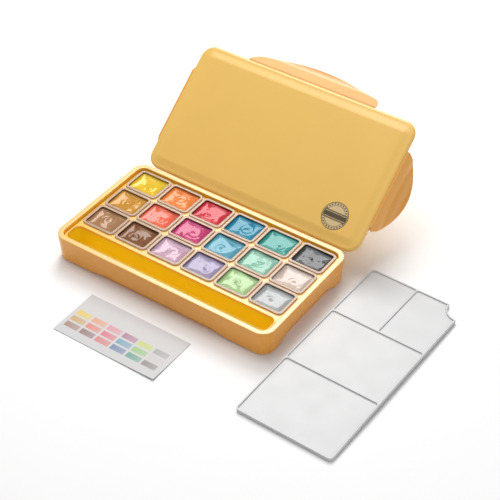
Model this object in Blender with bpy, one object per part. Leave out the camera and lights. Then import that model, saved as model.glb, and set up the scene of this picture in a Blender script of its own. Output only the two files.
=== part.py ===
"""Gouache paint set box: a tray of paint cups, its lid with snap flaps, a palette and a colour card.

Metres, +Z up. The origin is the middle of the tray's flat underside, +X runs along the row of six
cups and +Y points from the brush trough to the back, where the lid stands.
"""

import math

import bmesh
import bpy
from mathutils import Euler, Matrix

# Clearances and shared cuts
seat_gap = 0.0003
cut_overrun = 0.002

# Tray
box_length = 0.310
box_width = 0.1725
box_height = 0.035
corner_radius = 0.017
least_radius = 0.0015
wall_draft = 0.0017
wall_thickness = 0.002
floor_thickness = 0.002
base_fillet = 0.003
rim_width = 0.007
rim_rounding = 0.0008
ledge_reach = 0.0013
ledge_depth = 0.003
corner_steps = 5

# Arched recesses under the walls, where the flaps snap in
long_arch_depth = 0.004
long_arch_length = 0.226
long_arch_ramp = 0.040
long_arch_rise = 0.007
side_arch_depth = 0.005
side_arch_length = 0.132
side_arch_ramp = 0.031
side_arch_rise = 0.0135
ramp_steps = 6

# Cup deck with its brush trough
deck_drop = 0.0048
deck_thickness = 0.002
trough_end_margin = 0.0105
trough_width = 0.0252
trough_radius = 0.008
trough_depth = 0.0235
trough_draft = 0.0015
trough_fillet = 0.003
trough_wall = 0.0012
trough_lip = 0.0008
trough_to_cups = 0.0056
trough_to_ledge = 0.0004

# Paint cups
cup_columns = 6
cup_rows = 3
cup_end_margin = 0.0095
cup_gap_x = 0.0015
cup_gap_y = 0.0014
flange_radius = 0.0062
flange_reach = 0.0019
flange_thickness = 0.0009
flange_drop = 0.0017
flange_edge = 0.0008
flange_rounding = 0.0004
cup_wall = 0.0008
cup_draft = 0.0026
cup_depth = 0.0247
cup_fillet = 0.002
cup_clearance = 0.0004
cup_steps = 3
paint_below_flange = 0.0055
paint_crown = 0.0006
paint_crown_inset = 0.003

# Lid
lid_wall = 0.0018
lid_depth = 0.006
lid_side_height = 0.0026
lid_shoulder = 0.0036
lid_shoulder_drop = 0.0014
lid_border = 0.015
lid_lean_deg = 38.0
lid_shift_x = 0.0068
lid_setback = 0.001

# Snap flaps and their hinge lines
hinge_offset = 0.0011
hinge_rise = 0.001
flap_thickness = 0.0016
flap_strap = 0.022
flap_lip = 0.0114
flap_lip_flare_deg = 60.0
flap_least_reach = 0.004
long_flap_length = 0.184
long_flap_end_share = 0.55
long_flap_corner_share = 0.13
side_flap_length = 0.104
side_flap_end_share = 0.38
side_flap_corner_share = 0.24
side_flap_rest_deg = 22.0
top_flap_rest_deg = 38.0
foot_flap_rest_deg = 31.0
flap_columns = 16
flap_row_shares = (0.0, 0.3, 0.6, 0.7, 0.8, 0.9, 1.0)

# Palette
palette_length = 0.2773
palette_width = 0.1242
palette_height = 0.0046
palette_floor = 0.0028
palette_rim = 0.0018
palette_divider = 0.0015
palette_radius = 0.005
palette_cell_radius = 0.003
palette_notch = 0.0195
palette_near_share = 0.342
palette_far_share = 0.680
palette_turn_deg = -1.2
palette_to_box = 0.0139
palette_front_y = -0.168
notch_steps = 8

# Colour card
card_length = 0.1435
card_width = 0.0695
card_thickness = 0.0005
card_curl = 0.0012
card_left_x = -0.0741
card_front_y = -0.1825
card_columns = 10
card_rows = 5

# Worked out from the sizes above
half_length = box_length / 2
half_width = box_width / 2
deck_top = box_height - deck_drop
deck_bottom = deck_top - deck_thickness
ledge_top = deck_bottom - seat_gap
flange_top = deck_top + seat_gap + flange_drop
cup_bottom = flange_top - cup_depth - cup_wall
cup_floor = flange_top - cup_depth
deck_inset = rim_width + seat_gap
back_margin = rim_width + 2 * seat_gap
trough_length = box_length - 2 * trough_end_margin
trough_front_y = rim_width + ledge_reach + trough_to_ledge + trough_wall - half_width
trough_centre_y = trough_front_y + trough_width / 2
grid_front_y = trough_front_y + trough_width + trough_to_cups
grid_back_y = half_width - back_margin
grid_centre_y = (grid_front_y + grid_back_y) / 2
cup_pitch_x = (box_length - 2 * cup_end_margin) / cup_columns
cup_pitch_y = (grid_back_y - grid_front_y) / cup_rows
flange_length = cup_pitch_x - cup_gap_x
flange_width = cup_pitch_y - cup_gap_y
flap_reach = flap_strap + flap_lip


def clear_scene():
    """Remove whatever the file opened with."""
    for item in list(bpy.data.objects):
        bpy.data.objects.remove(item, do_unlink=True)


def finish(name, colour, roughness, metallic=0.0, alpha=1.0):
    """Make one sub-part's material."""
    material = bpy.data.materials.new(name)
    material.use_nodes = True
    shader = material.node_tree.nodes["Principled BSDF"]
    shader.inputs["Base Color"].default_value = (*colour, 1.0)
    shader.inputs["Roughness"].default_value = roughness
    shader.inputs["Metallic"].default_value = metallic
    shader.inputs["Alpha"].default_value = alpha
    return material


def add_object(name, mesh, material=None, place=(0, 0, 0), parent=None):
    """Put a mesh in the scene as a named object."""
    item = bpy.data.objects.new(name, mesh)
    bpy.context.collection.objects.link(item)
    if material:
        mesh.materials.append(material)
    item.location = place
    item.parent = parent
    return item


def rounded_rectangle(length, width, radius, steps):
    """Points round a rectangle with round corners, centred on zero, anticlockwise."""
    points = []
    for corner in range(4):
        side_x = 1 if corner in (0, 3) else -1
        side_y = 1 if corner in (0, 1) else -1
        centre_x = side_x * (length / 2 - radius)
        centre_y = side_y * (width / 2 - radius)
        for step in range(steps + 1):
            angle = math.radians(90) * (corner + step / steps)
            points.append((centre_x + radius * math.cos(angle), centre_y + radius * math.sin(angle)))
    return points


def inset_loop(length, width, radius, inset, steps):
    """The same outline drawn in by an inset, with concentric corners."""
    corner = max(radius - inset, least_radius)
    return rounded_rectangle(length - 2 * inset, width - 2 * inset, corner, steps)


def loft(name, loops):
    """A closed mesh through stacked loops of equal counts, capped at both ends."""
    bm = bmesh.new()
    rings = []
    for points, height in loops:
        rings.append([bm.verts.new((x, y, height)) for x, y in points])
    count = len(rings[0])
    for lower, upper in zip(rings, rings[1:]):
        for index in range(count):
            after = (index + 1) % count
            bm.faces.new((lower[index], lower[after], upper[after], upper[index]))
    bm.faces.new(list(reversed(rings[0])))
    bm.faces.new(rings[-1])
    return to_mesh(bm, name, wound=True)


def to_mesh(bm, name, wound=False):
    """Write a bmesh out with its faces pointing outwards, as wound or worked out afresh."""
    if not wound:
        bmesh.ops.recalc_face_normals(bm, faces=bm.faces)
    mesh = bpy.data.meshes.new(name)
    bm.to_mesh(mesh)
    bm.free()
    return mesh


def prism(name, outline, low, high):
    """An outline extruded along Z."""
    bm = bmesh.new()
    face = bm.faces.new([bm.verts.new((x, y, low)) for x, y in outline])
    made = bmesh.ops.extrude_face_region(bm, geom=[face])
    raised = [part for part in made["geom"] if isinstance(part, bmesh.types.BMVert)]
    bmesh.ops.translate(bm, verts=raised, vec=(0, 0, high - low))
    return to_mesh(bm, name)


def joined(name, meshes):
    """Several meshes that don't meet, as one mesh for one cut."""
    bm = bmesh.new()
    for mesh in meshes:
        bm.from_mesh(mesh)
    return to_mesh(bm, name)


def shape_with(target, tool_mesh, operation):
    """Apply a Boolean of a tool mesh to an object."""
    tool = add_object(tool_mesh.name, tool_mesh)
    modifier = target.modifiers.new(operation.lower(), "BOOLEAN")
    modifier.operation = operation
    modifier.object = tool
    bpy.context.view_layer.update()
    graph = bpy.context.evaluated_depsgraph_get()
    result = bpy.data.meshes.new_from_object(target.evaluated_get(graph))
    target.modifiers.clear()
    target.data = result
    bpy.data.objects.remove(tool, do_unlink=True)


def moved(points, shift_x, shift_y):
    """Outline points moved in plan."""
    return [(x + shift_x, y + shift_y) for x, y in points]


def smooth(item, angle_deg=40):
    """Shade an object smooth between its real edges."""
    item.data.shade_smooth()
    item.data.set_sharp_from_angle(angle=math.radians(angle_deg))


def arch_outline(length, ramp, rise, floor):
    """Outline of an arched recess seen square to its wall: a flat roof with eased ramps."""
    points = [(-length / 2, floor)]
    for step in range(ramp_steps + 1):
        share = step / ramp_steps
        points.append((-length / 2 + ramp * share, rise * (1 - math.cos(math.pi * share)) / 2))
    mirrored = [(-x, z) for x, z in reversed(points)]
    return points + mirrored


def wall_prism(name, outline, near, far, turn_deg):
    """An outline that stands square to one wall, run between two distances from the centre."""
    bm = bmesh.new()
    face = bm.faces.new([bm.verts.new((x, -near, z)) for x, z in outline])
    made = bmesh.ops.extrude_face_region(bm, geom=[face])
    outer = [part for part in made["geom"] if isinstance(part, bmesh.types.BMVert)]
    bmesh.ops.translate(bm, verts=outer, vec=(0, near - far, 0))
    bmesh.ops.rotate(bm, verts=bm.verts, cent=(0, 0, 0), matrix=Matrix.Rotation(math.radians(turn_deg), 3, "Z"))
    return to_mesh(bm, name)


def arch_tools():
    """The recess cutters of the four walls, and the raised inner ledges that keep the walls closed."""
    cutters = []
    ledges = []
    long_arch = (half_width, long_arch_depth, long_arch_length, long_arch_ramp, long_arch_rise)
    side_arch = (half_length, side_arch_depth, side_arch_length, side_arch_ramp, side_arch_rise)
    for turn in (0, 90, 180, 270):
        wall, depth, length, ramp, rise = long_arch if turn in (0, 180) else side_arch
        inner = wall - wall_draft - depth
        cut = arch_outline(length, ramp, rise, -cut_overrun)
        cutters.append(wall_prism("arch_cut", cut, inner, wall + cut_overrun, turn))
        cover = arch_outline(length + 2 * wall_thickness, ramp, rise + wall_thickness, 0)
        raised = [(x, z + floor_thickness / 2) for x, z in cover]
        skin = wall - wall_draft - wall_thickness / 2
        ledges.append(wall_prism("arch_ledge", raised, inner - wall_thickness, skin, turn))
    return cutters, ledges


def make_base():
    """The tray: drafted walls, a wide rim, a ledge for the deck and arched recesses below."""
    inner_draft = wall_draft + wall_thickness
    curve = base_fillet * (1 - math.cos(math.radians(45)))
    ledge_low = ledge_top - ledge_depth
    profile = ((wall_draft + base_fillet, 0),
               (wall_draft + curve, curve),
               (wall_draft, base_fillet),
               (0, box_height - rim_rounding),
               (rim_rounding, box_height),
               (rim_width - rim_rounding, box_height),
               (rim_width, box_height - rim_rounding),
               (rim_width, ledge_top),
               (rim_width + ledge_reach, ledge_top),
               (rim_width + ledge_reach, ledge_low),
               (wall_thickness + wall_draft / 4, ledge_low),
               (inner_draft, floor_thickness))
    loops = [(inset_loop(box_length, box_width, corner_radius, inset, corner_steps), height)
             for inset, height in profile]
    material = finish("yellow_moulding", (0.82, 0.50, 0.14), 0.42)
    base = add_object("box_base", loft("box_base", loops), material)
    cutters, ledges = arch_tools()
    shape_with(base, joined("arch_ledges", ledges), "UNION")
    shape_with(base, joined("arch_cuts", cutters), "DIFFERENCE")
    smooth(base)
    return base


def cup_places():
    """Each cup's number and the middle of its cell, left to right from the back row."""
    places = []
    for row in range(cup_rows):
        y = grid_centre_y + cup_pitch_y * ((cup_rows - 1) / 2 - row)
        for column in range(cup_columns):
            x = cup_pitch_x * (column - (cup_columns - 1) / 2)
            places.append((len(places) + 1, x, y))
    return places


def make_deck():
    """The insert plate that carries the cups, with the deep brush trough moulded in."""
    plate_outline = inset_loop(box_length, box_width, corner_radius, deck_inset, corner_steps)
    material = finish("pale_yellow_insert", (0.95, 0.68, 0.26), 0.4)
    deck = add_object("cup_deck", prism("cup_deck", plate_outline, deck_bottom, deck_top), material)
    tub_outline = rounded_rectangle(trough_length + 2 * trough_wall, trough_width + 2 * trough_wall,
                                    trough_radius + trough_wall, corner_steps)
    tub_floor = deck_top - trough_depth
    tub = prism("tub", moved(tub_outline, 0, trough_centre_y), tub_floor - trough_wall, deck_top + trough_lip)
    shape_with(deck, tub, "UNION")
    hollow_profile = ((trough_draft + trough_fillet, tub_floor),
                      (trough_draft, tub_floor + trough_fillet),
                      (0, deck_top + trough_lip + cut_overrun))
    hollow_loops = []
    for inset, height in hollow_profile:
        outline = inset_loop(trough_length, trough_width, trough_radius, inset, corner_steps)
        hollow_loops.append((moved(outline, 0, trough_centre_y), height))
    opening_length = flange_length - 2 * flange_reach + 2 * cup_clearance
    opening_width = flange_width - 2 * flange_reach + 2 * cup_clearance
    opening = rounded_rectangle(opening_length, opening_width, flange_radius - flange_reach + cup_clearance, cup_steps)
    cutters = [loft("trough_hollow", hollow_loops)]
    for number, x, y in cup_places():
        cutters.append(prism("opening", moved(opening, x, y), deck_bottom - cut_overrun, deck_top + cut_overrun))
    shape_with(deck, joined("deck_cuts", cutters), "DIFFERENCE")
    smooth(deck)
    return deck


def cup_mesh():
    """One cup about the middle of its cell, with the deck's top at zero."""
    body = flange_reach
    profile = ((body + cup_draft + cup_fillet, cup_bottom),
               (body + cup_draft, cup_bottom + cup_fillet),
               (body, flange_top - flange_thickness),
               (flange_edge, flange_top - flange_thickness),
               (flange_edge, deck_top + seat_gap),
               (0, deck_top + seat_gap),
               (0, flange_top - flange_rounding),
               (flange_rounding, flange_top),
               (body + cup_wall, flange_top),
               (body + cup_draft + cup_wall, cup_floor))
    loops = [(inset_loop(flange_length, flange_width, flange_radius, inset, cup_steps), height - deck_top)
             for inset, height in profile]
    return loft("cup", loops)


def paint_mesh():
    """One cup's fill: it follows the cup's inner wall, with a low crown."""
    level = flange_top - paint_below_flange
    drop_share = paint_below_flange / cup_depth
    side = flange_reach + cup_wall + seat_gap
    profile = ((side + cup_draft, cup_floor + seat_gap),
               (side + cup_draft * drop_share, level),
               (side + cup_draft * drop_share + paint_crown_inset, level + paint_crown))
    loops = [(inset_loop(flange_length, flange_width, flange_radius, inset, cup_steps), height - deck_top)
             for inset, height in profile]
    return loft("paint", loops)


paint_finishes = (
    ("yellow", (0.90, 0.78, 0.08)), ("orange", (0.95, 0.33, 0.10)), ("red", (0.80, 0.10, 0.14)),
    ("blue", (0.06, 0.45, 0.62)), ("teal", (0.04, 0.40, 0.38)), ("black_pearl", (0.10, 0.11, 0.13)),
    ("gold", (0.72, 0.47, 0.13)), ("coral", (0.92, 0.25, 0.20)), ("magenta", (0.78, 0.12, 0.42)),
    ("light_blue", (0.25, 0.66, 0.82)), ("mint", (0.32, 0.76, 0.62)), ("pale_pearl", (0.85, 0.72, 0.68)),
    ("bronze", (0.42, 0.28, 0.19)), ("brown", (0.23, 0.12, 0.06)), ("lilac_pink", (0.76, 0.46, 0.70)),
    ("purple", (0.45, 0.34, 0.66)), ("light_green", (0.38, 0.82, 0.24)), ("silver", (0.62, 0.63, 0.65)))


def make_cups():
    """Every cup in its own opening, each with its paint as a child."""
    clear = finish("clear_cup", (0.85, 0.85, 0.84), 0.12, alpha=0.5)
    for number, x, y in cup_places():
        cup = add_object(f"cup_{number:02d}", cup_mesh(), clear, (x, y, deck_top))
        smooth(cup)
        label, colour = paint_finishes[number - 1]
        paint = finish(f"paint_{label}", colour, 0.25)
        fill = add_object(f"paint_{number:02d}", paint_mesh(), paint, parent=cup)
        smooth(fill)


def lid_mesh():
    """The lid about the foot flap's hinge line: local Y runs up the panel, local Z out of its face."""
    face = lid_depth - hinge_rise
    outer = ((lid_wall, -hinge_rise),
             (0, -hinge_rise),
             (0, lid_side_height - hinge_rise),
             (lid_shoulder * 0.3, face - lid_shoulder_drop * 1.3),
             (lid_shoulder, face - lid_shoulder_drop),
             (lid_border * 0.55, face - lid_shoulder_drop * 0.65),
             (lid_border, face))
    inner = ((lid_border, face - lid_wall),
             (lid_shoulder + lid_wall, face - lid_shoulder_drop - lid_wall),
             (lid_wall, lid_side_height - hinge_rise - lid_wall / 2),
             (lid_wall, -hinge_rise))
    middle_y = hinge_offset + half_width
    bm = bmesh.new()
    rings = []
    for inset, height in outer + inner:
        points = moved(inset_loop(box_length, box_width, corner_radius, inset, corner_steps), 0, middle_y)
        rings.append([bm.verts.new((x, y, height)) for x, y in points])
    first = rings[0]
    rings = rings[:-1] + [first]
    count = len(first)
    for index, (lower, upper) in enumerate(zip(rings, rings[1:])):
        if index == len(outer) - 1:
            bm.faces.new(lower)
            bm.faces.new(list(reversed(upper)))
            continue
        for step in range(count):
            after = (step + 1) % count
            bm.faces.new((lower[step], lower[after], upper[after], upper[step]))
    loose = [vert for vert in bm.verts if not vert.link_faces]
    bmesh.ops.delete(bm, geom=loose, context="VERTS")
    return to_mesh(bm, "lid_panel", wound=True)


def flap_section(along):
    """A point on the flap's middle line when closed: how far out and down it is, and its slant."""
    bend = max(0.0, along - flap_strap) / flap_lip * math.radians(flap_lip_flare_deg)
    bend_radius = flap_lip / math.radians(flap_lip_flare_deg)
    out = bend_radius * (1 - math.cos(bend))
    down = min(along, flap_strap) + bend_radius * math.sin(bend)
    return out, down, bend


def flap_reach_at(share, end_share, corner_share):
    """The flap's reach at a share of its half length: a bow with rounded corners."""
    bow = end_share + (1 - end_share) * (1 - share * share)
    into_corner = max(0.0, (abs(share) - 1 + corner_share) / corner_share)
    corner = math.sqrt(max(0.0, 1 - into_corner * into_corner))
    return max(flap_least_reach, flap_reach * bow * corner)


def flap_mesh(name, length, end_share, corner_share):
    """A bowed flap that hangs from local X, along -Z when closed, with -Y as its outer side."""
    bm = bmesh.new()
    outer = []
    inner = []
    half = flap_thickness / 2
    for column in range(flap_columns + 1):
        share = math.sin(math.pi * (column / flap_columns - 0.5))
        reach = flap_reach_at(share, end_share, corner_share)
        outer.append([])
        inner.append([])
        for row_share in flap_row_shares:
            out, down, slant = flap_section(row_share * reach)
            across_y = half * math.cos(slant)
            across_z = half * math.sin(slant)
            x = length / 2 * share
            outer[-1].append(bm.verts.new((x, -out - across_y, across_z - down)))
            inner[-1].append(bm.verts.new((x, across_y - out, -down - across_z)))
    last = len(flap_row_shares) - 1
    for column in range(flap_columns):
        for row in range(last):
            for skin in (outer, inner):
                near = skin[column]
                far = skin[column + 1]
                bm.faces.new((near[row], far[row], far[row + 1], near[row + 1]))
        for row in (0, last):
            near = (outer[column][row], inner[column][row])
            far = (inner[column + 1][row], outer[column + 1][row])
            bm.faces.new(near + far)
    for column in (0, flap_columns):
        for row in range(last):
            near = (outer[column][row], inner[column][row])
            far = (inner[column][row + 1], outer[column][row + 1])
            bm.faces.new(near + far)
    return to_mesh(bm, name)


def foot_height():
    """How far the foot flap reaches below its hinge line at its rest angle."""
    upright = math.radians(foot_flap_rest_deg - lid_lean_deg)
    lowest = 0
    for row_share in flap_row_shares:
        out, down, slant = flap_section(row_share * flap_reach)
        for half in (flap_thickness / 2, -flap_thickness / 2):
            across = out + half * math.cos(slant)
            along = down - half * math.sin(slant)
            lowest = max(lowest, along * math.cos(upright) - across * math.sin(upright))
    return lowest


def hang_flap(name, mesh, place, round_z_deg, rest_deg, lid, material):
    """Hang a flap on the lid: turned to face out of its edge, then swung open to its rest angle."""
    flap = add_object(name, mesh, material, place, lid)
    facing = Matrix.Rotation(math.radians(round_z_deg), 4, "Z")
    swing = Matrix.Rotation(-math.radians(rest_deg), 4, "X")
    flap.rotation_euler = (facing @ swing).to_euler()
    smooth(flap)
    return flap


def make_lid():
    """The lid, leaning back behind the tray on its foot flap."""
    material = finish("yellow_lid", (0.86, 0.56, 0.20), 0.38)
    lid = add_object("lid_panel", lid_mesh(), material)
    lid.location = (lid_shift_x, half_width + lid_setback, foot_height())
    lid.rotation_euler = Euler((math.radians(lid_lean_deg), 0, 0))
    smooth(lid)
    middle_y = hinge_offset + half_width
    top_y = 2 * hinge_offset + box_width
    side_x = half_length + hinge_offset
    flaps = (("flap_foot", (0, 0, 0), 0, foot_flap_rest_deg),
             ("flap_right", (side_x, middle_y, 0), 90, side_flap_rest_deg),
             ("flap_top", (0, top_y, 0), 180, top_flap_rest_deg),
             ("flap_left", (-side_x, middle_y, 0), 270, side_flap_rest_deg))
    for name, place, turn, rest in flaps:
        if turn in (0, 180):
            mesh = flap_mesh(name, long_flap_length, long_flap_end_share, long_flap_corner_share)
        else:
            mesh = flap_mesh(name, side_flap_length, side_flap_end_share, side_flap_corner_share)
        hang_flap(name, mesh, place, turn, rest, lid, material)


def notch_arc(width, length, radius):
    """The concave quarter round at the palette's far right corner."""
    points = []
    for step in range(notch_steps + 1):
        angle = math.radians(270 - 90 * step / notch_steps)
        points.append((width + radius * math.cos(angle), length + radius * math.sin(angle)))
    return points


def make_palette():
    """The mixing plate: a thin rim and dividers round four shallow cells, with a notched corner."""
    outline = rounded_rectangle(palette_width, palette_length, palette_radius, cup_steps)
    outline = moved(outline, palette_width / 2, palette_length / 2)
    far_right = cup_steps + 1
    outline = notch_arc(palette_width, palette_length, palette_notch) + outline[far_right:]
    material = finish("white_palette", (0.86, 0.86, 0.86), 0.35)
    palette = add_object("palette", prism("palette", outline, 0, palette_height), material)
    near = palette_length * palette_near_share
    far = palette_length * palette_far_share
    middle = palette_width / 2
    half = palette_divider / 2
    right = palette_width - palette_rim
    top = palette_length - palette_rim
    cells = ((palette_rim, right, palette_rim, near - half),
             (palette_rim, right, near + half, far - half),
             (palette_rim, middle - half, far + half, top),
             (middle + half, right, far + half, top))
    cutters = []
    for index, (left, edge, low, high) in enumerate(cells):
        cell = rounded_rectangle(edge - left, high - low, palette_cell_radius, cup_steps)
        cell = moved(cell, (left + edge) / 2, (low + high) / 2)
        if index == 3:
            reach = palette_notch + palette_rim
            arc = notch_arc(palette_width, palette_length, reach)
            inside = [point for point in arc if point[0] < right and point[1] < top]
            cell = inside + cell[far_right:]
        cutters.append(prism("cell", cell, palette_floor, palette_height + cut_overrun))
    shape_with(palette, joined("cells", cutters), "DIFFERENCE")
    palette.location = (half_length + palette_to_box, palette_front_y, 0)
    palette.rotation_euler = Euler((0, 0, math.radians(palette_turn_deg)))
    smooth(palette, 30)
    return palette


def make_card():
    """The colour card: thin, with its right-hand corners lifting a little."""
    bm = bmesh.new()
    bmesh.ops.create_grid(bm, x_segments=card_columns, y_segments=card_rows, size=1)
    for vert in bm.verts:
        vert.co.x = vert.co.x * card_length / 2
        vert.co.y = vert.co.y * card_width / 2
    made = bmesh.ops.extrude_face_region(bm, geom=list(bm.faces))
    upper = [part for part in made["geom"] if isinstance(part, bmesh.types.BMVert)]
    bmesh.ops.translate(bm, verts=upper, vec=(0, 0, card_thickness))
    for vert in bm.verts:
        along = vert.co.x / card_length + 0.5
        across = 0.5 - vert.co.y / card_width
        vert.co.z += card_curl * (along * across) ** 3
    material = finish("printed_card", (0.80, 0.79, 0.79), 0.55)
    place = (card_left_x + card_length / 2, card_front_y + card_width / 2, 0)
    card = add_object("colour_card", to_mesh(bm, "colour_card"), material, place)
    smooth(card)
    return card


clear_scene()
make_base()
make_deck()
make_cups()
make_lid()
make_palette()
make_card()
bpy.context.view_layer.update()
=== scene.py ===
# %% [markdown]
# # A gouache paint set box
# This lesson dresses a plastic paint set: a long yellow tray with eighteen small cups of paint, its
# lid standing behind it on one of four fold-out flaps, a white mixing palette and a printed colour
# card. The shapes that move were built first and are loaded here as a fixed frame. Each piece below
# is modelled in the same place, in metres, and rides on the body that carries it.

import math

import bmesh
import bpy
from mathutils import Matrix, Vector, noise


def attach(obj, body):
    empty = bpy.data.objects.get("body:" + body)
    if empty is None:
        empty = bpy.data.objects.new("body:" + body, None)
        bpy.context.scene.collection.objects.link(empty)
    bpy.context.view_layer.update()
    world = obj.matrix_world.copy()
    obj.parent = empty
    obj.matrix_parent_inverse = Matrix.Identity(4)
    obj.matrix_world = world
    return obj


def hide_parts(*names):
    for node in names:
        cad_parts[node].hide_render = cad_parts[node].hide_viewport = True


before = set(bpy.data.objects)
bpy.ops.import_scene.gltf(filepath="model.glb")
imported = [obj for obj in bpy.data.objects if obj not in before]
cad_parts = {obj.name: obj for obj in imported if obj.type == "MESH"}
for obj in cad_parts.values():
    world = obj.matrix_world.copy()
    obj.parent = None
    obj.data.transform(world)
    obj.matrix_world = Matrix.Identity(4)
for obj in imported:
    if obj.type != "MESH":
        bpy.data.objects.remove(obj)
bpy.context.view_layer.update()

# %% [markdown]
# ## Camera
# The photograph was taken from the right, from well above the table, with a long lens that keeps the
# long edges nearly parallel. The camera looks from that direction at a point near the tray.

# %% Camera
view_turn = math.radians(34.79)
view_rise = math.radians(41.11)
view_distance = 1.7496
view_target = Vector((0.0323, 0.0576, 0))

towards = Vector((math.sin(view_turn) * math.cos(view_rise),
                  -math.cos(view_turn) * math.cos(view_rise),
                  math.sin(view_rise)))
bpy.ops.object.camera_add(location=view_target + towards * view_distance)
camera = bpy.context.object
camera.rotation_euler = towards.to_track_quat("Z", "Y").to_euler()
camera.data.lens = 103.9
camera.data.sensor_width = 36
bpy.context.scene.camera = camera
print("camera at", [round(value, 3) for value in camera.location])

# %% [markdown]
# ## Picking parts of a mesh
# A modeller clicks on faces and edges. A script finds them by where they are, so one helper selects
# the edges or faces of the mesh in edit mode whose middle passes a test. The others start a piece from
# a box or a grid, round and cut it, give it its finish, and fix its place in its mesh, because a
# finished piece's object sits at the origin.


# %% Helpers for modelling
def deselect():
    """Leave edit mode and select nothing."""
    if bpy.context.object and bpy.context.object.mode != "OBJECT":
        bpy.ops.object.mode_set(mode="OBJECT")
    bpy.ops.object.select_all(action="DESELECT")


def choose(piece):
    """Make one piece the only selected one, and the active one."""
    deselect()
    piece.select_set(True)
    bpy.context.view_layer.objects.active = piece


def pick(test, kind="faces"):
    """Select the edit mesh's faces or edges whose middle and self pass the test."""
    mesh = bmesh.from_edit_mesh(bpy.context.object.data)
    bpy.ops.mesh.select_all(action="DESELECT")
    for part in getattr(mesh, kind):
        if kind == "edges":
            middle = (part.verts[0].co + part.verts[1].co) / 2
        else:
            middle = part.calc_center_median()
        if test(middle, part):
            part.select_set(True)
    mesh.select_flush_mode()
    bmesh.update_edit_mesh(bpy.context.object.data)


def settle(piece):
    """Move a piece's place, turn and size into its mesh."""
    choose(piece)
    bpy.ops.object.transform_apply(location=True, rotation=True, scale=True)


def edit(piece):
    """Open one piece in edit mode."""
    choose(piece)
    bpy.ops.object.mode_set(mode="EDIT")


def close_edit():
    """Go back to object mode."""
    bpy.ops.object.mode_set(mode="OBJECT")


def apply(piece, kind, **settings):
    """Add a modifier to a piece and apply it."""
    choose(piece)
    modifier = piece.modifiers.new(kind.lower(), kind)
    for name, value in settings.items():
        setattr(modifier, name, value)
    bpy.ops.object.modifier_apply(modifier=modifier.name)


def smooth(piece, angle=35, flats=True):
    """Shade a piece smooth, with its sharp edges kept and its broad flat faces flat."""
    choose(piece)
    bpy.ops.object.shade_smooth_by_angle(angle=math.radians(angle))
    if flats:
        apply(piece, "WEIGHTED_NORMAL", keep_sharp=True)


def soften(piece, width, segments, angle):
    """Round a piece's edges that are sharper than an angle in degrees."""
    apply(piece, "BEVEL", width=width, segments=segments, limit_method="ANGLE",
          angle_limit=math.radians(angle))


def coat(piece, *finishes):
    """Give a piece its finishes, in the order of their face indices."""
    piece.data.materials.clear()
    for finish in finishes:
        piece.data.materials.append(finish.material)


def is_upright(edge):
    """Whether an edge stands along Z."""
    along = edge.verts[0].co - edge.verts[1].co
    return abs(along.z) > 0.99 * along.length


def slab(name, size, middle, corner, steps=8):
    """A box of a size about a middle, with round upright corners, left in edit mode."""
    deselect()
    bpy.ops.mesh.primitive_cube_add(size=1, location=middle, scale=size)
    piece = bpy.context.object
    piece.name = name
    settle(piece)
    edit(piece)
    bpy.ops.mesh.select_mode(type="EDGE")
    pick(lambda spot, edge: is_upright(edge), "edges")
    bpy.ops.mesh.bevel(offset=corner, segments=steps, affect="EDGES")
    bpy.ops.mesh.select_mode(type="FACE")
    return piece


def grid(name, steps, size, middle=(0, 0, 0)):
    """A flat grid with a count of steps each way, of a size about a middle."""
    deselect()
    bpy.ops.mesh.primitive_grid_add(x_subdivisions=steps[0], y_subdivisions=steps[1], size=1)
    piece = bpy.context.object
    piece.name = name
    piece.scale = (*size, 1)
    piece.location = middle
    settle(piece)
    return piece


def thicken(piece, height):
    """Extrude a whole flat grid upwards."""
    edit(piece)
    bpy.ops.mesh.select_all(action="SELECT")
    bpy.ops.mesh.extrude_region_move(TRANSFORM_OT_translate={"value": (0, 0, height)})
    close_edit()


def face_outwards(piece):
    """Turn every face of a piece outwards."""
    edit(piece)
    bpy.ops.mesh.select_all(action="SELECT")
    bpy.ops.mesh.normals_make_consistent(inside=False)
    close_edit()


slack = 0.00002
flat = 0.9
sharp = 0.5


def pick_top(height):
    """Select the faces that lie flat at a height."""
    pick(lambda spot, face: abs(spot.z - height) < slack and abs(face.normal.z) > flat)


def pick_ring(height):
    """Select the sharp edges that lie at a height, all round."""
    def at_height(spot, edge):
        level = all(abs(vert.co.z - height) < slack for vert in edge.verts)
        return level and abs(edge.calc_face_angle(0)) > sharp
    bpy.ops.mesh.select_mode(type="EDGE")
    pick(at_height, "edges")


def round_ring(height, offset, segments):
    """Round the sharp edges that lie at a height."""
    pick_ring(height)
    bpy.ops.mesh.bevel(offset=offset, segments=segments, affect="EDGES")


def push(distance, widen=(1, 1), middle=(0, 0, 0)):
    """Extrude the selected faces along Z and widen or narrow them about a middle."""
    bpy.ops.mesh.extrude_region_move(TRANSFORM_OT_translate={"value": (0, 0, distance)})
    if widen != (1, 1):
        bpy.ops.transform.resize(value=(*widen, 1), center_override=middle)


def carve(piece, tool, operation="DIFFERENCE"):
    """Cut or join one piece with another, which is used up."""
    apply(piece, "BOOLEAN", object=tool, operation=operation, solver="EXACT")
    bpy.data.objects.remove(tool, do_unlink=True)


print("modelling helpers ready")

# %% [markdown]
# ## Shader maths
# A material is a network of nodes, and arithmetic on its values is easier to read as Python. This
# class wraps one output socket, and adding or multiplying two of them adds the Math node. The finish
# class owns one material, adds any other node from its type, settings and inputs, and feeds the
# shader.


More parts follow.
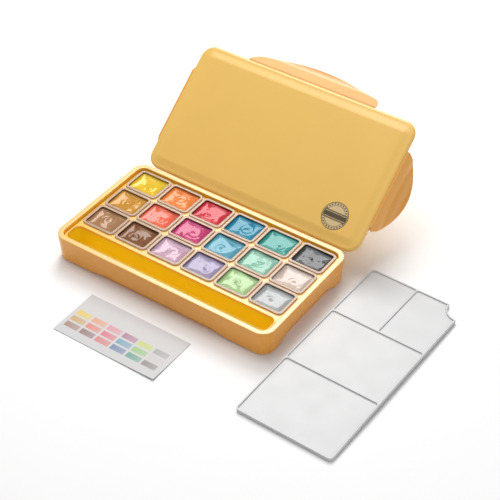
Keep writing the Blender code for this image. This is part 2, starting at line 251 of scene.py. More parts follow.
# %% Wires and finishes
class Wire:
    """One output socket, with arithmetic that adds Math nodes."""

    def __init__(self, finish, socket):
        self.finish = finish
        self.socket = socket

    def math(self, operation, first, second=0.0):
        return self.finish.node("ShaderNodeMath", {"operation": operation}, {0: first, 1: second})

    def __add__(self, other):
        return self.math("ADD", self, other)

    def __radd__(self, other):
        return self.math("ADD", other, self)

    def __sub__(self, other):
        return self.math("SUBTRACT", self, other)

    def __rsub__(self, other):
        return self.math("SUBTRACT", other, self)

    def __mul__(self, other):
        return self.math("MULTIPLY", self, other)

    def __rmul__(self, other):
        return self.math("MULTIPLY", other, self)

    def __truediv__(self, other):
        return self.math("DIVIDE", self, other)

    def __gt__(self, other):
        return self.math("GREATER_THAN", self, other)

    def __lt__(self, other):
        return self.math("LESS_THAN", self, other)

    def __abs__(self):
        return self.math("ABSOLUTE", self)


class Finish:
    """One material: its nodes and what feeds its shader."""

    def __init__(self, name, **constants):
        self.material = bpy.data.materials.new(name)
        self.material.use_nodes = True
        self.nodes = self.material.node_tree.nodes
        self.links = self.material.node_tree.links
        self.shader = self.nodes["Principled BSDF"]
        for socket, value in constants.items():
            self.feed(socket.replace("_", " ").title().replace("Ior", "IOR"), value)

    def node(self, kind, settings=None, sockets=None, out=0):
        """Add a node, set it up, plug its inputs and return one of its outputs."""
        made = self.nodes.new(kind)
        for name, value in (settings or {}).items():
            setattr(made, name, value)
        for name, value in (sockets or {}).items():
            self.plug(made.inputs[name], value)
        return Wire(self, made.outputs[out])

    def plug(self, socket, value):
        """Link a wire to a socket, or write a value in it."""
        if isinstance(value, Wire):
            self.links.new(value.socket, socket)
        elif socket.type == "RGBA":
            socket.default_value = (*value, 1)
        else:
            socket.default_value = value

    def feed(self, socket, value):
        """Plug one of the shader's own sockets."""
        self.plug(self.shader.inputs[socket], value)

    def mix(self, amount, first, second):
        """Blend two colours."""
        sockets = {0: amount, 6: first, 7: second}
        return self.node("ShaderNodeMix", {"data_type": "RGBA"}, sockets, out=2)

    def surface(self):
        """The wire that feeds the base colour so far."""
        return Wire(self, self.shader.inputs["Base Color"].links[0].from_socket)

    def place(self):
        """Where a point is, in metres."""
        return self.node("ShaderNodeTexCoord", out="Object")

    def split(self, where):
        """The three coordinates of a place, each as a wire."""
        parts = self.nodes.new("ShaderNodeSeparateXYZ")
        self.plug(parts.inputs[0], where)
        return [Wire(self, output) for output in parts.outputs]

    def noise(self, where, scale, detail=2.0):
        """Soft random values from 0 to 1."""
        sockets = {"Vector": where, "Scale": scale, "Detail": detail}
        return self.node("ShaderNodeTexNoise", None, sockets)

    def bump(self, height, depth, strength=1.0):
        """Raise the surface by a pattern that is depth metres high."""
        sockets = {"Height": height, "Distance": depth, "Strength": strength}
        self.feed("Normal", self.node("ShaderNodeBump", None, sockets))


def shade(colour, amount):
    """A colour made lighter or darker."""
    return tuple(min(1.0, channel * amount) for channel in colour)


print("shader classes ready")

# %% [markdown]
# ## Moulded plastic
# The tray, lid and flaps are injection moulded in one satin yellow plastic, and the insert is paler.
# The lid and the top flap get paler copies of that yellow as painted light, and the trough a deeper,
# brighter yellow as painted bounce light.
# Such plastic isn't one flat colour: the flow of the melt clouds it a little, its skin has a fine
# grain that spreads the highlights, and it is scuffed where hands and shelves touch it. The top of
# the rim is a paler cream as a painted highlight, and the inside of the wall a deeper, brighter yellow
# as painted bounce light.


# %% The plastics
def moulded_plastic(name, colour, gloss=0.27, cloudiness=0.04, grain_depth=0.00003):
    """Satin plastic with faint flow clouds, a fine grain and a few rubbed patches."""
    finish = Finish(name, ior=1.6)
    where = finish.place()
    cloud = finish.noise(where, 14, 3)
    colour_wire = finish.mix(cloud, shade(colour, 1 - cloudiness), shade(colour, 1 + cloudiness))
    finish.feed("Base Color", colour_wire)
    rubbed = finish.noise(where, 40, 1)
    grain = finish.noise(where, 2600, 2)
    finish.feed("Roughness", (rubbed - 0.5) * 0.10 + (grain - 0.5) * 0.02 + gloss)
    finish.bump(grain, grain_depth, 0.08)
    return finish


yellow = (0.95, 0.41, 0.047)
# painted light: the lid's paler copy of the one yellow stands in for the light it faces
lid_painted_light = (0.97, 0.60, 0.145)
flap_tint = (0.92, 0.425, 0.068)
# painted light: the top flap's paler, creamier copy stands in for the light it faces
top_flap_painted_light = (0.90, 0.48, 0.17)
insert_yellow = (0.93, 0.53, 0.08)
# painted bounce light: the deeper, brighter yellow down in the trough
trough_painted_bounce = (0.99, 0.72, 0.016)
# painted highlight: the paler cream on top of the tray's rim
rim_painted_highlight = (0.96, 0.60, 0.20)
# painted bounce light: the deeper, brighter yellow on the tray's inside
tray_painted_bounce = (1.0, 0.54, 0.022)
trough_bounce_fade = (0.0292, 0.0262)
rim_highlight_fade = (0.0342, 0.0349)
tray_finish = moulded_plastic("satin_yellow", yellow)
insert_finish = moulded_plastic("pale_yellow", insert_yellow, 0.26)
tray_bounce_finish = moulded_plastic("tray_painted_bounce", tray_painted_bounce)


def tint_by_height(finish, fade, tint):
    """Turn a finish into another colour between two heights."""
    height = finish.split(finish.place())[2]
    share = finish.node("ShaderNodeMapRange", None, {"Value": height, 1: fade[0], 2: fade[1]})
    finish.feed("Base Color", finish.mix(share, finish.surface(), tint))


# painted bounce light: the trough's walls and floor turn a deeper, brighter yellow
tint_by_height(insert_finish, trough_bounce_fade, trough_painted_bounce)
# painted highlight: the top of the rim turns a paler cream
tint_by_height(tray_finish, rim_highlight_fade, rim_painted_highlight)
flap_finish = moulded_plastic("flap_yellow", flap_tint, 0.3)
top_flap_finish = moulded_plastic("top_flap_yellow", top_flap_painted_light, 0.4)
print("plastics made")

# %% [markdown]
# ## Tray
# The tray is a long box with round corners and a wide flat rim. Under each wall an arched recess takes
# the lip of a snap flap. It starts as a block, its walls get their draft by narrowing the bottom, and
# the inside is an inset and an extrusion. The recesses are cut with bowed blocks, and one bevel at the
# end softens every edge that the mould would. The faces that look inwards get a deeper, brighter
# yellow as painted bounce light.

# %% Tray body
tray_length = 0.310
tray_width = 0.1725
tray_height = 0.035
rim_width = 0.007
corner = 0.017
draft = 0.0017
upper_depth = 0.019
ledge_depth = 0.0005
lower_depth = 0.0105
lower_wall = 0.0089
foot_round = 0.003
rim_round = 0.0011

tray = slab("tray", (tray_length, tray_width, tray_height), (0, 0, tray_height / 2), corner, 12)
pick_top(tray_height)
bpy.ops.mesh.inset(thickness=rim_width)
push(-upper_depth)
narrow = ((tray_length / 2 - lower_wall) / (tray_length / 2 - rim_width), 1)
push(-ledge_depth, narrow)
push(-lower_depth)
pick_top(0)
bpy.ops.transform.resize(value=(1 - draft * 2 / tray_length, 1 - draft * 2 / tray_width, 1),
                         center_override=(0, 0, 0))
round_ring(0, foot_round, 4)
round_ring(tray_height, rim_round, 4)
close_edit()
print("tray faces", len(tray.data.polygons))


# %% Recess cutters
cutter_bottom = -0.004
cutter_block = 0.003
cutter_reach = 0.003
roof_drop = 0.0002
long_recess = {"length": 0.226, "depth": 0.004, "ramp": 0.040, "rise": 0.0075}
short_recess = {"length": 0.132, "depth": 0.005, "ramp": 0.031, "rise": 0.0135}


def recess_height(along, half, ramp, rise):
    """The arch of a recess: flat in the middle, with eased ramps to the ends."""
    into = (half - abs(along)) / ramp
    return rise * (1 - math.cos(math.pi * min(1.0, max(0.0, into)))) / 2


def recess_cutter(length, depth, ramp, rise, wall):
    """A block under the wall at +Y, whose roof follows the arch."""
    span = depth + draft + cutter_reach
    cutter = grid("cutter", (72, 1), (length, span),
                  (0, wall - draft - depth + span / 2, cutter_bottom))
    thicken(cutter, cutter_block)
    for vert in cutter.data.vertices:
        if vert.co.z > cutter_bottom + cutter_block / 2:
            vert.co.z = recess_height(vert.co.x, length / 2, ramp, rise) - roof_drop
    face_outwards(cutter)
    return cutter


for turn in range(4):
    if turn % 2:
        cutter = recess_cutter(wall=tray_length / 2, **short_recess)
    else:
        cutter = recess_cutter(wall=tray_width / 2, **long_recess)
    cutter.rotation_euler = (0, 0, math.radians(90 * turn))
    settle(cutter)
    carve(tray, cutter)
soften(tray, 0.0007, 2, 38)
smooth(tray)
coat(tray, tray_finish, tray_bounce_finish)


def looks_inwards(face):
    """Whether a face is on the tray's inside, below the rolled edge of the rim."""
    spot = face.center
    margin = rim_width - 0.001
    inside = abs(spot.x) < tray_length / 2 - margin and abs(spot.y) < tray_width / 2 - margin
    lean_in = face.normal.x * spot.x + face.normal.y * spot.y
    return inside and (lean_in < -0.0001 or face.normal.z > 0.5) and spot.z < tray_height - 0.0012


# the inward faces get the painted bounce light
for face in tray.data.polygons:
    face.material_index = int(looks_inwards(face))
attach(tray, "tray")
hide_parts("box_base")
print("tray with recesses", len(tray.data.polygons))

# %% [markdown]
# ## Cup deck
# A paler moulding drops into the tray: a flat plate with eighteen openings, and along the front a deep
# trough for brushes. The plate is a slab, the trough is a tub joined on and then hollowed, and each
# opening is cut with a rounded block of its own.

# %% Deck
deck_length = 0.2954
deck_width = 0.1579
deck_top = 0.0302
plate = 0.002
pitch_x = 0.0485
pitch_y = 0.0414
grid_y = 0.0166
cups = [(row * 6 + column + 1, pitch_x * (column - 2.5), grid_y + pitch_y * (1 - row))
        for row in range(3) for column in range(6)]
trough_length = 0.289
trough_width = 0.0252
trough_y = -0.06375
trough_floor = deck_top - 0.0235
trough_corner = 0.008
trough_taper = 0.003
tub_wall = 0.0012
tub_height = 0.0255
hollow_height = 0.026
opening_size = (0.0425, 0.0358, 0.008)

deck = slab("deck", (deck_length, deck_width, plate), (0, 0, deck_top - plate / 2), 0.0097, 10)
close_edit()
tub = slab("tub", (trough_length + 2 * tub_wall, trough_width + 2 * tub_wall, tub_height),
           (0, trough_y, trough_floor - tub_wall + tub_height / 2), trough_corner + tub_wall, 8)
close_edit()
carve(deck, tub, "UNION")
hollow = slab("hollow", (trough_length, trough_width, hollow_height),
              (0, trough_y, trough_floor + hollow_height / 2), trough_corner, 8)
pick_top(trough_floor)
bpy.ops.transform.resize(
    value=(1 - trough_taper / trough_length, 1 - trough_taper / trough_width, 1),
    center_override=(0, trough_y, 0))
round_ring(trough_floor, 0.003, 4)
close_edit()
carve(deck, hollow)
for number, x, y in cups:
    opening = slab("opening", opening_size, (x, y, deck_top), 0.0047, 5)
    close_edit()
    carve(deck, opening)
soften(deck, 0.0004, 2, 50)
smooth(deck)
coat(deck, insert_finish)
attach(deck, "tray")
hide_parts("cup_deck")
print("deck", len(deck.data.polygons))

# %% [markdown]
# ## Paint colours
# The paints are pearl gouaches: thick, wet and slightly metallic. Where the sky shows in them they turn
# nearly white, and against the cup's wall they are darkest. The colour is the same all through, so
# each gets one colour, faint streaks from stirring, and a gloss that changes with the streaks.

# %% Paint finishes
paint_colours = {
    1: ("yellow", (0.70, 0.46, 0.012)), 2: ("orange", (0.76, 0.20, 0.035)),
    3: ("red", (0.52, 0.018, 0.035)), 4: ("blue", (0.005, 0.20, 0.31)),
    5: ("teal", (0.03, 0.27, 0.24)), 6: ("black_pearl", (0.055, 0.057, 0.062)),
    7: ("gold", (0.52, 0.24, 0.022)), 8: ("coral", (0.74, 0.12, 0.065)), 9: ("magenta", (0.47, 0.035, 0.14)),
    10: ("light_blue", (0.07, 0.29, 0.38)), 11: ("mint", (0.22, 0.44, 0.33)),
    12: ("pale_pearl", (0.54, 0.44, 0.38)), 13: ("bronze", (0.36, 0.18, 0.08)),
    14: ("brown", (0.19, 0.07, 0.018)), 15: ("lilac_pink", (0.52, 0.33, 0.42)),
    16: ("purple", (0.30, 0.25, 0.38)), 17: ("light_green", (0.33, 0.50, 0.22)),
    18: ("silver", (0.36, 0.365, 0.37))}


def wet_paint(name, colour, seed):
    """Wet pearl paint with stirred streaks."""
    finish = Finish(name, metallic=0.1, ior=1.4, specular_ior_level=0.15, coat_weight=0.5,
                    coat_roughness=0.06)
    where = finish.place()
    warp = finish.noise(where, 60, 2)
    streak = finish.node("ShaderNodeTexNoise", {"noise_dimensions": "4D"},
                         {"Vector": where, "W": warp * 1.5 + seed, "Scale": 130, "Detail": 3})
    finish.feed("Base Color", finish.mix(streak, shade(colour, 0.86), shade(colour, 1.12)))
    finish.feed("Roughness", streak * 0.2 + 0.28)
    finish.bump(finish.noise(where, 260, 2), 0.00010, 0.05)
    return finish


def wetted_wall_with_painted_shade(name, colour):
    """The inside of a clear cup, wetted by its paint and glossy, darker than the fill as painted shade."""
    finish = Finish(name, ior=1.49)
    where = finish.place()
    smear = finish.noise(where, 160, 3)
    # painted shade: the wetted wall is darkened to 0.2 to 0.55 of its paint's colour
    finish.feed("Base Color", finish.mix(smear, shade(colour, 0.2), shade(colour, 0.55)))
    finish.feed("Roughness", smear * 0.2 + 0.18)
    return finish


def clear_plastic(name):
    """The cup's clear plastic, milky in faint random clouds."""
    finish = Finish(name, ior=1.49)
    where = finish.place()
    haze = finish.noise(where, 90, 2)
    finish.feed("Base Color", finish.mix(haze, (0.62, 0.42, 0.28), (0.74, 0.54, 0.39)))
    finish.feed("Roughness", haze * 0.12 + 0.16)
    finish.feed("Alpha", haze * 0.1 + 0.66)
    return finish


cup_finish = clear_plastic("clear_cup_plastic")
print("paints", len(paint_colours))

# %% [markdown]
# ## Cups
# Each cup is a thin tapering pot with a wide rolled flange that rests on the deck. One is modelled from
# the flange down: the block's underside is inset and drawn down for the body, and its top is inset and
# drawn down for the hollow. That one is a pattern: all eighteen cups are copies of its mesh, and each
# gets the stain of its own paint inside, made much darker than the paint as painted shade.

# %% One cup
flange_top = deck_top + 0.0020
flange_low = deck_top + 0.0003
flange_length = 0.0470
flange_width = 0.0400
flange_corner = 0.0062
body_depth = 0.0238
body_inset = 0.0024
body_taper = (0.875, 0.85)
hollow_depth = 0.0247
hollow_inset = 0.0035
hollow_taper = (0.87, 0.845)

pattern_cup = slab("cup", (flange_length, flange_width, flange_top - flange_low),
                   (0, 0, (flange_top + flange_low) / 2), flange_corner, 6)
pick_top(flange_low)
bpy.ops.mesh.inset(thickness=body_inset)
push(-body_depth, body_taper)
round_ring(flange_low - body_depth, 0.002, 3)
bpy.ops.mesh.select_mode(type="FACE")
pick_top(flange_top)
bpy.ops.mesh.inset(thickness=hollow_inset)
push(-hollow_depth, hollow_taper)
round_ring(flange_top, 0.00065, 4)
close_edit()
smooth(pattern_cup, 50)


def is_wetted(face):
    """Whether a face is on the cup's inner wall, below the rolled edge."""
    spot = face.center
    inside = abs(spot.x) < flange_length / 2 - 0.0035 and abs(spot.y) < flange_width / 2 - 0.0033
    facing_in = face.normal.x * spot.x + face.normal.y * spot.y < 0 or face.normal.z > 0.9
    return inside and facing_in and spot.z < flange_top - 0.0006


def copy_of(pattern, name, x, y):
    """A copy with its own mesh, moved in plan."""
    piece = pattern.copy()
    piece.data = pattern.data.copy()
    piece.name = name
    bpy.context.collection.objects.link(piece)
    piece.location = (x, y, 0)
    settle(piece)
    return piece


print("cup faces", len(pattern_cup.data.polygons))


# %% All the cups
for number, x, y in cups:
    label, colour = paint_colours[number]
    cup = copy_of(pattern_cup, f"pot_{number:02d}", x, y)
    coat(cup, cup_finish, wetted_wall_with_painted_shade(f"stain_and_shade_{label}", colour))
    for face, twin in zip(cup.data.polygons, pattern_cup.data.polygons):
        face.material_index = int(is_wetted(twin))
    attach(cup, f"cup_{number:02d}_filled")
    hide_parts(f"cup_{number:02d}")
bpy.data.objects.remove(pattern_cup, do_unlink=True)
print("cups made", len(cups))

# %% [markdown]
# ## Paint
# The paint was squeezed in from above, so its middle keeps a swirl with a small peak, and it climbs a
# little where it wets the wall. An extrusion gives a fine grid its depth, and then code bows its top to
# that surface, narrows its bottom and fits its outline to the cup's round corners.

# %% Paint fills
fill_length = 0.0390
fill_width = 0.0320
fill_corner = 0.003
fill_level = flange_top - 0.0042
fill_depth = 0.0159
fill_taper = (0.905, 0.885)
climb_height = 0.0022
climb_width = 0.0028
swirl_reach = 0.012
ridge_height = 0.00008
ridge_pitch = 1100
peak_height = 0.0007
peak_width = 0.0016
wave_height = 0.0010
wave_pitch = 62
ripple_height = 0.00004
ripple_pitch = 240


def round_corner(x, y):
    """Draw a point that lies in a square corner back to the round one."""
    centre_x = math.copysign(fill_length / 2 - fill_corner, x)
    centre_y = math.copysign(fill_width / 2 - fill_corner, y)
    reach = Vector((x - centre_x, y - centre_y))
    outside = (x - centre_x) * x > 0 and (y - centre_y) * y > 0
    if outside and reach.length > fill_corner:
        reach = reach.normalized() * fill_corner
        return centre_x + reach.x, centre_y + reach.y
    return x, y


def paint_height(x, y, seed):
    """The stirred surface: a climb at the wall, a spiral ridge, a peak and slow waves."""
    spin = seed * 2.4
    off_x = 0.0035 * math.sin(seed * 1.7)
    off_y = 0.0028 * math.cos(seed * 2.9)
    away = math.hypot(x - off_x, y - off_y)
    turn = math.atan2(y - off_y, x - off_x)
    wall = min(fill_length / 2 - abs(x), fill_width / 2 - abs(y))
    climb = climb_height * math.exp(-max(wall, 0) / climb_width)
    fade = math.exp(-(away / swirl_reach) ** 2)
    ridge = ridge_height * fade * math.sin(away * ridge_pitch - turn + spin)
    peak = peak_height * math.exp(-(away / peak_width) ** 2)
    waves = wave_height * noise.noise((x * wave_pitch + seed * 7, y * wave_pitch, seed))
    waves += ripple_height * noise.noise((x * ripple_pitch, y * ripple_pitch + seed * 5, seed))
    return climb + ridge + peak + waves


def paint_fill(number, x_place, y_place, finish):
    """One cup's paint, from a fine grid."""
    fill = grid(f"fill_{number:02d}", (56, 46), (fill_length, fill_width))
    thicken(fill, fill_depth)
    for vert in fill.data.vertices:
        is_surface = vert.co.z > fill_depth / 2
        x, y = round_corner(vert.co.x, vert.co.y)
        if is_surface:
            vert.co = (x, y, fill_level + paint_height(x, y, number))
        else:
            vert.co = (x * fill_taper[0], y * fill_taper[1], fill_level - fill_depth)
    edit(fill)
    bpy.ops.mesh.select_all(action="SELECT")
    bpy.ops.mesh.remove_doubles(threshold=slack)
    close_edit()
    face_outwards(fill)
    fill.location = (x_place, y_place, 0)
    settle(fill)
    smooth(fill, 60, flats=False)
    coat(fill, finish)
    return fill


for number, x, y in cups:
    label, colour = paint_colours[number]
    fill = paint_fill(number, x, y, wet_paint(f"gouache_{label}", colour, number))
    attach(fill, f"cup_{number:02d}_filled")
    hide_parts(f"paint_{number:02d}")
print("paint filled", len(cups))

# %% [markdown]
# ## Lid
# The lid stands behind the tray, tilted back, with its outer face towards the viewer. It is a shallow
# pan: a round shoulder runs all round, then a soft sloping border and a flat raised middle. It is
# modelled lying flat about the line of its lower hinge, where its numbers are simple, and then leant
# back.

# %% Lid frame
lean = math.radians(38)
hinge_spot = Vector((0.0068, 0.08725, 0.032496))
lid_frame = Matrix.Translation(hinge_spot) @ Matrix.Rotation(lean, 4, "X")
rim_plane = -0.001
lid_face = 0.005
edge_gap = 0.0011
lid_middle_y = edge_gap + tray_width / 2
lid_corner = 0.0172
lid_crown = 0.0014
shoulder_top = lid_face - lid_crown
shoulder_width = 0.0036


def ease(value):
    """A smooth step from 0 to 1."""
    value = min(1.0, max(0.0, value))
    return value * value * (3 - 2 * value)


def to_lid(piece, local=None):
    """Lay a piece modelled in the lid's own flat frame where the lid stands."""
    piece.matrix_world = lid_frame @ (local or Matrix.Identity(4))
    settle(piece)


print("lid hinge at", tuple(hinge_spot))

# %% Lid panel
border_step = 0.0016
border_steps = 8
border_rise = 0.0016
pan_wall = 0.0018
pan_depth = 0.0024
pan_slope = 0.0012
pan_taper = 0.004

lid = slab("lid", (tray_length, tray_width, shoulder_top - rim_plane),
           (0, lid_middle_y, (shoulder_top + rim_plane) / 2), lid_corner, 12)
pick_top(shoulder_top)
bpy.ops.mesh.inset(thickness=shoulder_width)
for step in range(border_steps):
    bpy.ops.mesh.inset(thickness=border_step)
round_ring(shoulder_top, 0.0032, 5)
bpy.ops.mesh.select_mode(type="FACE")
pick_top(rim_plane)
bpy.ops.mesh.inset(thickness=pan_wall)
push(pan_depth)
push(pan_slope, (1 - pan_taper / tray_length, 1 - pan_taper / tray_width), (0, lid_middle_y, 0))
close_edit()


def lid_inset(x, y):
    """How far inside the lid's outline a point is."""
    across = abs(x) - (tray_length / 2 - lid_corner)
    along = abs(y - lid_middle_y) - (tray_width / 2 - lid_corner)
    if across > 0 and along > 0:
        return lid_corner - math.hypot(across, along)
    return lid_corner - max(across, along)


for vert in lid.data.vertices:
    inset = lid_inset(vert.co.x, vert.co.y)
    if inset > shoulder_width - 0.0002 and vert.co.z > shoulder_top - 0.0001:
        share = (inset - shoulder_width) / (border_steps * border_step)
        vert.co.z = shoulder_top + border_rise * ease(share)
print("lid faces", len(lid.data.polygons))

# %% [markdown]
# The lid's print is left off, but the round seal in its corner stays as a plain ornament: a ring of
# dots between two circles with a bar across. It is drawn in the material. Because the lid leans, the
# pattern reads a UV map that holds places on the flat lid in decimetres, made before it is tilted.

# %% Lid plan and seal
plan_unit = 0.1
seal_middle = (0.1107, 0.0342)
seal_radius = 0.0178
seal_ground = (0.72, 0.56, 0.33)
seal_ink = (0.06, 0.042, 0.018)
seal_dots = 26

plan = lid.data.uv_layers.new(name="lid_plan")
for loop in lid.data.loops:
    spot = lid.data.vertices[loop.vertex_index].co
    plan.data[loop.index].uv = (spot.x / plan_unit, spot.y / plan_unit)


def sealed_plastic(name, colour, centre, radius):
    """The lid's plastic with the printed seal."""
    finish = moulded_plastic(name, colour, 0.32)
    plan_x, plan_y, _ = finish.split(finish.node("ShaderNodeUVMap", {"uv_map": "lid_plan"}))
    across = plan_x * plan_unit - centre[0]
    along = plan_y * plan_unit - centre[1]
    share = across.math("POWER", across * across + along * along, 0.5) / radius
    turn = across.math("ARCTAN2", along, across)
    dots = turn.math("SINE", turn * seal_dots) > 0.1
    disc = share < 0.98
    ring = (share > 0.93) * disc
    dotted = (share > 0.79) * (share < 0.90) * dots
    inner = (share > 0.715) * (share < 0.75)
    bar = (abs(along) < radius * 0.29) * (share < 0.90)
    line = (abs(abs(along) - radius * 0.19) < radius * 0.02) * (share < 0.84)
    ink = share.math("MINIMUM", ring + dotted + inner + bar, 1.0) * (1 - line)
    sealed = finish.mix(disc * 0.8, finish.surface(), seal_ground)
    finish.feed("Base Color", finish.mix(ink * 0.94, sealed, seal_ink))
    return finish


# the lid's paler yellow is painted light
coat(lid, sealed_plastic("lid_yellow", lid_painted_light, seal_middle, seal_radius))
to_lid(lid)
smooth(lid, 40)
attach(lid, "lid")
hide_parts("lid_panel")
print("lid in place")

# %% [markdown]
# ## Snap flaps
# Four flaps hang from the lid's edge, each on a thin web of plastic. A flap is a flat strap and a curved
# lip that flares out to catch under the tray, and the two short ones have a groove across, just before
# the lip. Seen square on, each is a bow with round corners. A grid is bent to that section and outline
# in code, given its wall with Solidify, and its edges are rounded.

# %% Flap shape
strap = 0.022
lip = 0.0114
flare = math.radians(60)
flap_wall = 0.0016
least_reach = 0.004
groove_place = 0.019
groove_width = 0.0050
web_width = 0.0038
web_thickness = 0.0014
web_middle = (0, 0.0007, 0.0009)
long_flap = {"length": 0.184, "end_share": 0.55, "corner_share": 0.13, "catch": 0}
short_flap = {"length": 0.104, "end_share": 0.38, "corner_share": 0.24, "catch": 0.0022}


def flap_point(x_share, reach_share, length, end_share, corner_share, catch):
    """A point of the closed flap, with X along the hinge, -Y out and -Z down."""
    bow = end_share + (1 - end_share) * (1 - x_share * x_share)
    into = max(0.0, (abs(x_share) - 1 + corner_share) / corner_share)
    reach = max(least_reach, (strap + lip) * bow * math.sqrt(max(0.0, 1 - into * into)))
    along = reach * reach_share
    bend = max(0.0, along - strap) / lip * flare
    radius = lip / flare
    groove = catch * math.exp(-((along - groove_place) / groove_width) ** 2)
    return Vector((x_share * length / 2, groove - radius * (1 - math.cos(bend)),
                   -min(along, strap) - radius * math.sin(bend)))


def snap_flap(name, length, end_share, corner_share, catch):
    """One flap, closed, about its hinge line."""
    flap = grid(name, (64, 22), (2, 2))
    for vert in flap.data.vertices:
        x_share = math.sin(vert.co.x * math.pi / 2)
        reach_share = 0.5 - vert.co.y / 2
        vert.co = flap_point(x_share, reach_share, length, end_share, corner_share, catch)
    apply(flap, "SOLIDIFY", thickness=flap_wall, offset=0)
    face_outwards(flap)
    soften(flap, 0.0004, 2, 50)
    smooth(flap, 50)
    return flap


def hinge_web(name, length):
    """The thin web of plastic that joins a closed flap to the lid, along X."""
    web = slab(name, (length, web_width, web_thickness), web_middle, 0.0012, 3)
    close_edit()
    soften(web, 0.0003, 2, 50)
    smooth(web, 40)
    return web


print("flap reach", strap + lip)

# %% Hang the flaps
web_shortfall = 0.006
side_x = tray_length / 2 + edge_gap
top_y = tray_width + 2 * edge_gap
hung = (("foot", (0, 0, 0), 0, 31, long_flap),
        ("right", (side_x, lid_middle_y, 0), 90, 22, short_flap),
        ("top", (0, top_y, 0), 180, 38, long_flap),
        ("left", (-side_x, lid_middle_y, 0), 270, 22, short_flap))
for side, spot, turn, opened, shape in hung:
    flap = snap_flap(f"{side}_snap", **shape)
    hang = Matrix.Translation(spot) @ Matrix.Rotation(math.radians(turn), 4, "Z")
    to_lid(flap, hang @ Matrix.Rotation(-math.radians(opened), 4, "X"))
    web = hinge_web(f"{side}_hinge_web", shape["length"] - web_shortfall)
    to_lid(web, hang)
    # the top flap's finish carries the painted light
    flap_look = top_flap_finish if side == "top" else flap_finish
    coat(web, flap_look)
    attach(web, "lid")
    coat(flap, flap_look)
    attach(flap, "foot" if side == "foot" else f"{side}_flap")
    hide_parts(f"flap_{side}")
print("flaps hung", len(hung))

# %% [markdown]
# ## Palette
# The mixing palette is a thin white plate with a low rim, two cross walls and one long wall in the far
# third, and its far right corner is notched for a thumb. Four rounded blocks are cut from a slab to
# leave the walls, a cylinder bites the corner off, and a fine bevel rounds what is left. So thin a plate
# warps as it cools: cuts across it let the middle rise a little off the table.

# %% Palette
palette_length = 0.2773
palette_width = 0.1242
palette_height = 0.0046
palette_floor = 0.0028
notch = 0.0195
palette_bow = 0.0024
wall = 0.0015
edge = 0.0018
near = palette_length * 0.342
far = palette_length * 0.680
half = palette_width / 2
cell_height = 0.006
warp_cuts = 24
palette_place = (0.1689, -0.168, 0)
palette_turn = math.radians(-1.2)

palette = slab("mixing_plate", (palette_width, palette_length, palette_height),
               (palette_width / 2, palette_length / 2, palette_height / 2), 0.005, 8)
close_edit()
cells = ((edge, palette_width - edge, edge, near - wall / 2),
         (edge, palette_width - edge, near + wall / 2, far - wall / 2),
         (edge, half - wall / 2, far + wall / 2, palette_length - edge),
         (half + wall / 2, palette_width - edge, far + wall / 2, palette_length - edge))


def notch_tool(radius, depth):
    """A fine cylinder at the palette's far right corner."""
    deselect()
    spot = (palette_width, palette_length, depth / 2 - 0.002)
    bpy.ops.mesh.primitive_cylinder_add(vertices=96, radius=radius, depth=depth, location=spot)
    tool = bpy.context.object
    settle(tool)
    return tool


for left, right, low, high in cells:
    cell = slab("cell", (right - left, high - low, cell_height),
                ((left + right) / 2, (low + high) / 2, palette_floor + cell_height / 2), 0.003, 6)
    round_ring(palette_floor, 0.0009, 3)
    close_edit()
    if left > half and low > far:
        carve(cell, notch_tool(notch + edge, 0.02))
    carve(palette, cell)
carve(palette, notch_tool(notch, 0.02))
soften(palette, 0.00045, 3, 40)
edit(palette)
for cut in range(1, warp_cuts):
    bpy.ops.mesh.select_all(action="SELECT")
    cut_place = (0, palette_length * cut / warp_cuts, 0)
    bpy.ops.mesh.bisect(plane_co=cut_place, plane_no=(0, 1, 0))
close_edit()
for vert in palette.data.vertices:
    along = 2 * vert.co.y / palette_length - 1
    vert.co.z += palette_bow * (1 - along * along)
palette.location = palette_place
palette.rotation_euler = (0, 0, palette_turn)
settle(palette)
smooth(palette)
coat(palette, moulded_plastic("white_plastic", (0.62, 0.62, 0.62), 0.42, 0.015))
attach(palette, "mixing_palette")
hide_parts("palette")
print("palette", len(palette.data.polygons))

# %% [markdown]
# ## Colour card
# A stiff coated card shows a patch of every paint, three rows of six, each one painted in a stroke
# that pales to the right. The card is a thin grid whose near right corner has curled up a little. The
# patches are drawn in its material from the point's place on the card, and its words are left off.

# %% Card
card_length = 0.1435
card_width = 0.0695
card_thickness = 0.0005
card_curl = 0.0018
card_left = -0.0741
card_front = -0.1825

card = grid("printed_sheet", (40, 20), (card_length, card_width))
thicken(card, card_thickness)
face_outwards(card)
for vert in card.data.vertices:
    along = vert.co.x / card_length + 0.5
    across = 0.5 - vert.co.y / card_width
    vert.co.z += card_curl * (along * across) ** 3
card.location = (card_left + card_length / 2, card_front + card_width / 2, 0)
settle(card)
smooth(card, 40)
print("card faces", len(card.data.polygons))

# %% [markdown]
# The patches are listed from the front row back, each row from left to right, and their places are
# shares of the card's length and width.

# %% Card print
row_start = 0.165
row_step = 0.158
patch_height = 0.118
column_start = 0.036
column_step = 0.155
patch_length = 0.135
paper_grey = (0.63, 0.62, 0.62)
paper_light = (0.66, 0.65, 0.65)
edge_shadow_grey = (0.16, 0.16, 0.16)
edge_shadow_light = (0.24, 0.24, 0.24)
patch_colours = (
    ((0.41, 0.25, 0.19), (0.31, 0.19, 0.19), (0.69, 0.22, 0.22), (0.19, 0.25, 0.43), (0.16, 0.38, 0.29),
     (0.31, 0.27, 0.25)),
    ((0.63, 0.40, 0.16), (0.76, 0.25, 0.19), (0.73, 0.19, 0.25), (0.19, 0.38, 0.51), (0.34, 0.57, 0.25),
     (0.63, 0.60, 0.57)),
    ((0.80, 0.60, 0.13), (0.78, 0.38, 0.25), (0.73, 0.34, 0.38), (0.46, 0.22, 0.31), (0.60, 0.66, 0.19),
     (0.43, 0.43, 0.43)))


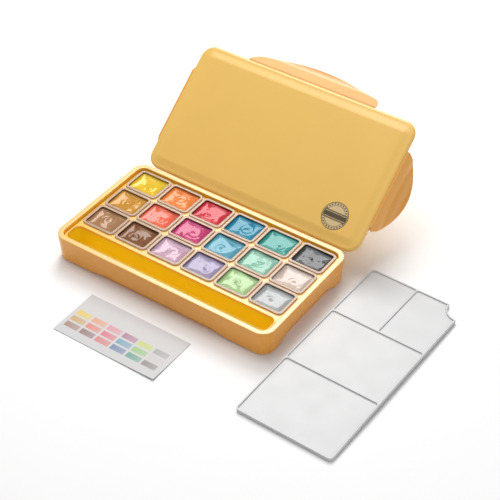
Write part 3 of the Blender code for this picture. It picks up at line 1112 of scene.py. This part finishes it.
def printed_card(name):
    """Coated card with three rows of six patches."""
    finish = Finish(name, ior=1.5, specular_ior_level=0.3)
    where = finish.place()
    place_x, place_y, _ = finish.split(where)
    along = (place_x - card_left) / card_length
    across = (place_y - card_front) / card_width
    ground = finish.mix(finish.noise(where, 700, 2), paper_grey, paper_light)
    stroke = finish.noise(where, 320, 3)
    for row, colours in enumerate(patch_colours):
        low = row_start + row_step * row
        in_row = (across > low) * (across < low + patch_height)
        for column, colour in enumerate(colours):
            left = column_start + column_step * column
            inside = in_row * (along > left) * (along < left + patch_length)
            fade = 1 - (along - left) / patch_length * 0.3
            ground = finish.mix(inside * fade * (stroke * 0.3 + 0.8), ground, colour)
    finish.feed("Base Color", ground)
    finish.feed("Roughness", stroke * 0.1 + 0.42)
    return finish


# painted shadow: the card's side faces are dark grey for the shadow line under its lifted edge
card_edge_shadow = Finish("card_edge_painted_shadow", roughness=0.7)
edge_shadow_mottle = card_edge_shadow.noise(card_edge_shadow.place(), 500, 2)
card_edge_shadow.feed("Base Color", card_edge_shadow.mix(edge_shadow_mottle, edge_shadow_grey, edge_shadow_light))
coat(card, printed_card("printed_card"), card_edge_shadow)
# the faces that stand on edge get the painted shadow
for face in card.data.polygons:
    face.material_index = int(abs(face.normal.z) < 0.5)
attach(card, "shade_card")
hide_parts("colour_card")
print("card printed")

# %% [markdown]
# ## Table and light
# A product photograph like this one has a white table without edges and large soft lights above and
# behind, so rims and tops are nearly white and the front walls fall into a warmer shade. The table is
# one wide sheet. The window lamp stands where the camera just sees it mirrored in the wet paint, a
# large one overhead gives the lid its form, a weak one opens up the right-hand side, and the sky is a
# plain pale grey. A trace of glow that only the camera sees keeps the table white.

# %% Table
table_size = 12
table_drop = 0.0002
table_grey = (0.93, 0.93, 0.93)
table_light = (0.95, 0.95, 0.95)
table_glow = 0.02

deselect()
bpy.ops.mesh.primitive_plane_add(size=table_size, location=(0, 0, -table_drop))
table = bpy.context.object
table.name = "table"
settle(table)
table_finish = Finish("white_table", roughness=0.6)
table_cloud = table_finish.noise(table_finish.place(), 3, 2)
table_finish.feed("Base Color", table_finish.mix(table_cloud, table_grey, table_light))
seen = table_finish.node("ShaderNodeLightPath")
table_finish.feed("Emission Strength", table_glow)
table_finish.feed("Emission Color", table_finish.mix(seen, (0, 0, 0), (1, 1, 1)))
coat(table, table_finish)
print("table laid")


# %% Lamps
def soft_lamp(name, spot, size, power):
    """A square lamp that faces the tray."""
    deselect()
    bpy.ops.object.light_add(type="AREA", location=spot)
    lamp = bpy.context.object
    lamp.name = name
    lamp.data.size = size
    lamp.data.energy = power
    lamp.rotation_euler = Vector(spot).to_track_quat("Z", "Y").to_euler()


soft_lamp("window_lamp", (-0.67, 1.30, 1.66), 0.95, 24.5)
soft_lamp("overhead_lamp", (-0.55, 0.30, 2.06), 1.3, 20.5)
soft_lamp("side_lamp", (1.80, -0.30, 0.85), 1.2, 5.5)
world = bpy.data.worlds.new("studio")
bpy.context.scene.world = world
world.use_nodes = True
sky = world.node_tree.nodes["Background"].inputs
sky["Color"].default_value = (1, 1, 1, 1)
sky["Strength"].default_value = 0.31
bpy.context.scene.view_settings.view_transform = "Standard"
print("lamps set")
